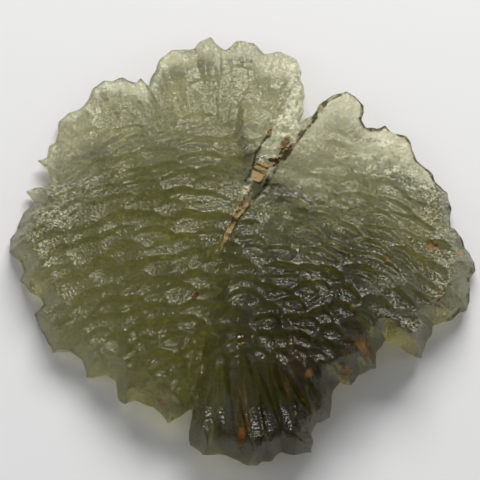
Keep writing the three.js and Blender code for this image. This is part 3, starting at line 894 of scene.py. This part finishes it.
crumbs_and_glint_specks.append(swept([(2.25, 7.8), (2.7, 7.72), (3.2, 7.5)], [0.1, 0.16, 0.08], 0.15, 30, 415))
crumb_and_speck_tones.append(1.0)
clay_crumbs_and_glint_specks = clay_object("clay_crumbs_and_glint_specks", crumbs_and_glint_specks, crumb_and_speck_tones)
print("crumbs:", len(crumbs_and_glint_specks))

# %% [markdown]
# ## Sockets in formulas
# A material is a graph of nodes. Linking dozens of them by hand hides the idea, so one small class wraps an
# output socket and lets it be added and multiplied like a number: each operation adds its Math node. A
# number may stand on either side, which takes the reflected forms of the operators.

# %% Sockets that can be calculated with
class Wire:
    """An output socket of a material that takes part in arithmetic."""

    def __init__(self, finish, socket):
        self.finish = finish
        self.socket = socket

    def maths(self, operation, first, second):
        """The outcome of a Math node."""
        return self.finish.node("ShaderNodeMath", {"operation": operation}, {0: first, 1: second})

    def __add__(self, other):
        return self.maths("ADD", self, other)

    def __sub__(self, other):
        return self.maths("SUBTRACT", self, other)

    def __rsub__(self, other):
        return self.maths("SUBTRACT", other, self)

    def __mul__(self, other):
        return self.maths("MULTIPLY", self, other)

    __radd__ = __add__
    __rmul__ = __mul__


print("reflected forms:", [name for name in vars(Wire) if name.startswith("__r") and name != "__repr__"])

# %% [markdown]
# ## Any other node
# Every other node comes from one method, which takes its type, its settings and the values or links of its
# inputs. A link and a plain value look the same in a call, so a mask can take a number's place at any time.
# Two short forms, a smooth step and a blend of two colours, cover what the materials below need most.

# %% Materials built node by node
class Finish:
    """A material that is built node by node."""

    def __init__(self, name):
        self.material = bpy.data.materials.new(name)
        self.material.use_nodes = True
        self.tree = self.material.node_tree
        self.tree.nodes.clear()

    def node(self, kind, settings=None, inputs=None, output=0):
        """One node: its settings first, then its inputs by name or number. Gives one of its outputs."""
        made = self.tree.nodes.new(kind)
        for setting, value in (settings or {}).items():
            setattr(made, setting, value)
        for socket, value in (inputs or {}).items():
            if isinstance(value, Wire):
                self.tree.links.new(value.socket, made.inputs[socket])
            else:
                made.inputs[socket].default_value = value
        return None if output is None else Wire(self, made.outputs[output])

    def step(self, low, high, value):
        """A smooth step from 0 at low to 1 at high."""
        return self.node("ShaderNodeMapRange", {"interpolation_type": "SMOOTHSTEP"},
                         {"Value": value, "From Min": low, "From Max": high})

    def blend(self, share, first, second):
        """A colour between two others."""
        return self.node("ShaderNodeMix", {"data_type": "RGBA"}, {0: share, 6: first, 7: second}, 2)


print("short forms:", [name for name in vars(Finish) if not name.startswith("_")])

# %% [markdown]
# ## Colours of clay, iron and painted light
# The clay, its crumbs and the stains on the glass are one family of colours: chalk, tan clay, orange-brown
# rust and dark red. A mask called "tone" says where in that row a point lies, and noise moves it to and fro,
# so that no crumb or stain is of one colour. The chalk white of two groups of crumbs is painted glints. Past
# the red comes the near-black of the painted shade along the cleft's wall, a crack and the rim. Each colour
# is blended in by its own smooth step.

# %% One row of colours
# chalk white; on two groups of crumbs it is painted glints
CHALK_AND_GLINT_WHITE = (0.70, 0.68, 0.58, 1)
LATER_COLOURS = [  # the tones between which each colour takes over, and the colour
    (0.05, 0.35, (0.34, 0.25, 0.115, 1)),       # tan
    (0.4, 0.68, (0.16, 0.062, 0.009, 1)),       # orange-brown
    (0.75, 1.05, (0.055, 0.015, 0.004, 1)),     # dark red
    # near-black: painted shade along the cleft's wall, a crack and the rim
    (1.25, 1.4, (0.015, 0.015, 0.010, 1)),      # near-black
]


def tone_row_colour(finish, noise):
    """The colour in the row that the mask "tone" asks for, moved up and down it by a noise."""
    tone = finish.node("ShaderNodeAttribute", {"attribute_name": "tone"}, output=2) + (noise - 0.5) * 0.6
    colour = CHALK_AND_GLINT_WHITE
    for low, high, later in LATER_COLOURS:
        colour = finish.blend(finish.step(low, high, tone), colour, later)
    return colour


print("tones run from chalk at 0 to cracks at", PAINTED_SHADE_TONE)

# %% [markdown]
# ## Green glass: the skin
# Moldavite looks like bottle glass left in the sea: see-through, but frosted by a skin of fine pits. Some of
# them are too fine even for this mesh, about a fifth of a millimetre across, so they are a bump: the squared
# distance to the nearest of many scattered points makes round bowls. They are deep where the mask "gritty"
# is 1 and shallow elsewhere. A noise that is stretched along the rows mottles the glass, and a quicker one
# is kept for the frost and the painted glints.

# %% Pits and noises of the glass
glass = Finish("etched_green_glass")
place = glass.node("ShaderNodeTexCoord", output="Object")
drawn_out = glass.node("ShaderNodeMapping", {}, {"Vector": place, "Scale": (1.0, 1.7, 1.0)})
bowls = glass.node("ShaderNodeTexVoronoi", {"feature": "F1"}, {"Vector": place, "Scale": 4800.0})
cloud = glass.node("ShaderNodeTexNoise", {}, {"Vector": place, "Scale": 2600.0, "Detail": 3.0})
mottle = glass.node("ShaderNodeTexNoise", {}, {
    "Vector": drawn_out, "Scale": 2800.0, "Detail": 4.0, "Roughness": 0.65})
speckle = glass.node("ShaderNodeTexNoise", {}, {
    "Vector": drawn_out, "Scale": 4600.0, "Detail": 2.0, "Roughness": 0.6})
seen = {title: glass.node("ShaderNodeAttribute", {"attribute_name": title}, output=2)
        for title in ("gritty", "smoky", "white", "frost", "stained")}
pitting = (bowls * bowls - 0.2) * (0.3 + seen["gritty"] * 0.7)
skin = glass.node("ShaderNodeBump", {}, {"Height": pitting, "Strength": 1.0, "Distance": 0.00006})
print("masks that the glass reads:", list(seen))

# %% [markdown]
# ## Green glass: what it lets through
# Painting the stone green would be wrong, because its colour deepens with thickness: the rims are pale and
# the middle is dark. So the surface only bends and reflects light, and an absorption inside takes light away
# all along its path, most of all the blue. What the surface does tint is thin: specks of dirt in the pits, a
# dusty yellow where the frost and the painted glints lie, amber round the stains and the painted shade, and
# a darker brown on the near side that is partly painted shade.

# %% Clear glass over an absorbing inside
LET_THROUGH = (0.56, 0.55, 0.165, 1)    # red, green and blue; what is missing from 1 is absorbed
DENSITY = 225.0                         # how fast, per metre

clean = glass.blend(glass.step(0.36, 0.60, mottle), (0.66, 0.66, 0.46, 1), (1.0, 0.995, 0.85, 1))
# a dusty yellow where the frost and the painted glints lie
dust_and_glint_tint = glass.blend(seen["frost"] * 0.6, clean, (0.76, 0.71, 0.44, 1))
amber = glass.blend(seen["stained"] * 0.95, dust_and_glint_tint, (0.55, 0.29, 0.035, 1))
# the darker, browner tint of the near side, which is partly painted shade
tint = glass.blend(seen["smoky"], amber, (0.13, 0.10, 0.015, 1))
clear = glass.node("ShaderNodeBsdfPrincipled", {}, {
    "Base Color": tint, "Transmission Weight": 1.0, "IOR": 1.49,
    "Specular Tint": (1.0, 1.0, 0.90, 1), "Specular IOR Level": 1.0,
    "Roughness": 0.28, "Normal": skin})
inside = glass.node("ShaderNodeVolumeAbsorption", {}, {"Color": LET_THROUGH, "Density": DENSITY})
for title, share in zip(("red", "green", "blue"), LET_THROUGH):
    print(title, "that is left after 4 mm:", round(math.exp(-(1 - share) * DENSITY * 4 * MM), 2))

# %% [markdown]
# ## Green glass: what lies on it
# White edges and frost are glass that the etch has turned to powder, and stains are a film of iron. The
# pale specks along the sides, on the crown and on the far lobes share the frost's dull surface, but they are
# painted glints, and the near-black painted shade along the cleft's wall, a crack and the rim shares the
# stains' film. None of these lets light through, so each is a dull surface of its own, and a mask and a noise
# say where it covers the clear glass. The noise is what breaks the frost and painted glints into specks and
# frays the stains.

# %% Frost and painted glints, white edges, stains and painted shade
chalk_and_glint = glass.node("ShaderNodeBsdfPrincipled", {}, {
    "Base Color": (0.78, 0.78, 0.56, 1), "Roughness": 0.6, "Normal": skin})
white_cover = seen["white"] * glass.step(0.35, 0.6, cloud) * 0.5
# frost beside the cleft, and painted glints along the sides, on the crown and on the far lobes
frost_cover = seen["frost"] * glass.step(0.48, 0.62, speckle) * 0.62
etched = glass.node("ShaderNodeMixShader", {}, {0: white_cover + frost_cover, 1: clear, 2: chalk_and_glint})
film = glass.node("ShaderNodeBsdfPrincipled", {}, {
    "Base Color": tone_row_colour(glass, cloud), "Roughness": 0.75, "Specular IOR Level": 0.2, "Normal": skin})
# the film covers stains, and the lines of near-black painted shade
film_cover = glass.step(0.25, 1.0, seen["stained"] + (cloud - 0.5) * 1.6) * 0.8
outside = glass.node("ShaderNodeMixShader", {}, {0: film_cover, 1: etched, 2: film})
glass.node("ShaderNodeOutputMaterial", {}, {"Surface": outside, "Volume": inside}, None)
stone.data.materials.append(glass.material)
print("nodes in the glass:", len(glass.tree.nodes))

# %% [markdown]
# ## Dried clay
# Clay has no single colour: each crumb has its own tone, and noise of two sizes mottles it. Its grain is a
# bump, and it is quite rough, so that it shows no glint beside the glass.

# %% The clay
# the clay's chalk white on two groups of crumbs is painted glints
clay_and_glint_finish = Finish("dried_clay_and_glint_white")
place = clay_and_glint_finish.node("ShaderNodeTexCoord", output="Object")
mottle = clay_and_glint_finish.node("ShaderNodeTexNoise", {}, {"Vector": place, "Scale": 2200.0, "Detail": 4.0})
grain = clay_and_glint_finish.node("ShaderNodeTexNoise", {}, {"Vector": place, "Scale": 7000.0, "Detail": 2.0})
crumbly = clay_and_glint_finish.node("ShaderNodeBump", {}, {"Height": grain + mottle, "Strength": 1.0, "Distance": 0.0002})
powder = clay_and_glint_finish.node("ShaderNodeBsdfPrincipled", {}, {
    "Base Color": tone_row_colour(clay_and_glint_finish, mottle), "Roughness": 0.9, "Specular IOR Level": 0.2, "Normal": crumbly})
clay_and_glint_finish.node("ShaderNodeOutputMaterial", {}, {"Surface": powder}, None)
for piece in (clay_strip, clay_block, clay_crumbs_and_glint_specks):
    piece.data.materials.append(clay_and_glint_finish.material)
print("nodes in the clay:", len(clay_and_glint_finish.tree.nodes))

# %% [markdown]
# ## The sheet of paper
# The stone lies on plain white paper. It belongs to the stage and not to the stone, so it is declared as
# such. It is set a hair lower than the stone's worn patch: two faces at one height would flicker.

# %% White paper
PAPER_SIZE = 1.2         # in metres
PAPER_DROP = 0.00005     # in metres
bpy.ops.mesh.primitive_plane_add(size=PAPER_SIZE, location=(0, 0, -PAPER_DROP))
paper = bpy.context.object
paper.name = "paper"
matt = Finish("white_paper")
sheet = matt.node("ShaderNodeBsdfPrincipled", {}, {
    "Base Color": (0.82, 0.82, 0.83, 1), "Roughness": 0.9})
matt.node("ShaderNodeOutputMaterial", {}, {"Surface": sheet}, None)
paper.data.materials.append(matt.material)
print("paper:", PAPER_SIZE, "m wide")

# %% [markdown]
# ## The light of the room
# Soft light from all round fills the shadow and shines up through the thin lobes after it has struck the
# paper. It is kept weak, so that the window can model the pits, and it is a little blue beside the window's
# warm light.

# %% Room light
ROOM_COLOUR = (0.9, 0.92, 0.97, 1)
ROOM_STRENGTH = 0.26
world = bpy.data.worlds.new("soft_room")
bpy.context.scene.world = world
world.use_nodes = True
background = world.node_tree.nodes["Background"]
background.inputs["Color"].default_value = ROOM_COLOUR
background.inputs["Strength"].default_value = ROOM_STRENGTH
print("the room's strength:", ROOM_STRENGTH)

# %% [markdown]
# ## The window and the walls
# Glass shows what it is by what it mirrors. A window on the far side is the main light: it is small and
# bright, so that each pit that faces it has a crisp glint, and its shadow falls towards us and a little to
# the left. Two weak lights stand for the walls of the room and reach the sides of the stone.

# %% Window and walls
LIT_POINT = Vector((0, 0, 0.004))
WARM_WHITE = (1.0, 0.985, 0.95)


def area_light(name, place, size, power):
    """A rectangular light at a place, turned towards the stone."""
    data = bpy.data.lights.new(name, "AREA")
    data.shape = "RECTANGLE"
    data.size, data.size_y = size
    data.energy = power
    data.color = WARM_WHITE
    lamp = bpy.data.objects.new(name, data)
    bpy.context.scene.collection.objects.link(lamp)
    lamp.location = place
    aim = LIT_POINT - Vector(place)
    lamp.rotation_euler = aim.to_track_quat("-Z", "Y").to_euler()
    print(f"{name}: {power} W from {round(aim.length, 2)} m")


area_light("window", (0.04, 0.27, 0.24), (0.25, 0.12), 1.38)
area_light("left_wall", (-0.30, 0.06, 0.22), (0.24, 0.24), 0.13)
area_light("right_wall", (0.30, 0.02, 0.16), (0.12, 0.20), 0.07)

# %% [markdown]
# ## Camera
# The view is almost straight down, from about 30 cm above, as one looks at a stone on a table. The lens
# follows from the distance and from the width that the picture should show there: the sensor's width times
# the one over the other. Colours are shown plainly, without a film-like curve.

# %% Camera
ELEVATION = math.radians(82)
REACH = 0.30             # in metres
VIEW_WIDTH = 0.0411      # in metres
SENSOR = 36.0            # in mm
AIM = Vector((-0.00017, 0.0007, 0.0035))
camera_data = bpy.data.cameras.new("camera")
camera = bpy.data.objects.new("camera", camera_data)
bpy.context.scene.collection.objects.link(camera)
camera.location = AIM + REACH * Vector((0, -math.cos(ELEVATION), math.sin(ELEVATION)))
camera.rotation_euler = (AIM - camera.location).to_track_quat("-Z", "Y").to_euler()
camera_data.sensor_width = SENSOR
camera_data.lens = SENSOR * REACH / VIEW_WIDTH
camera_data.clip_start = 0.01
bpy.context.scene.camera = camera
bpy.context.scene.view_settings.view_transform = "Standard"
print("lens:", round(camera_data.lens), "mm")

# %% [markdown]
# ## The end
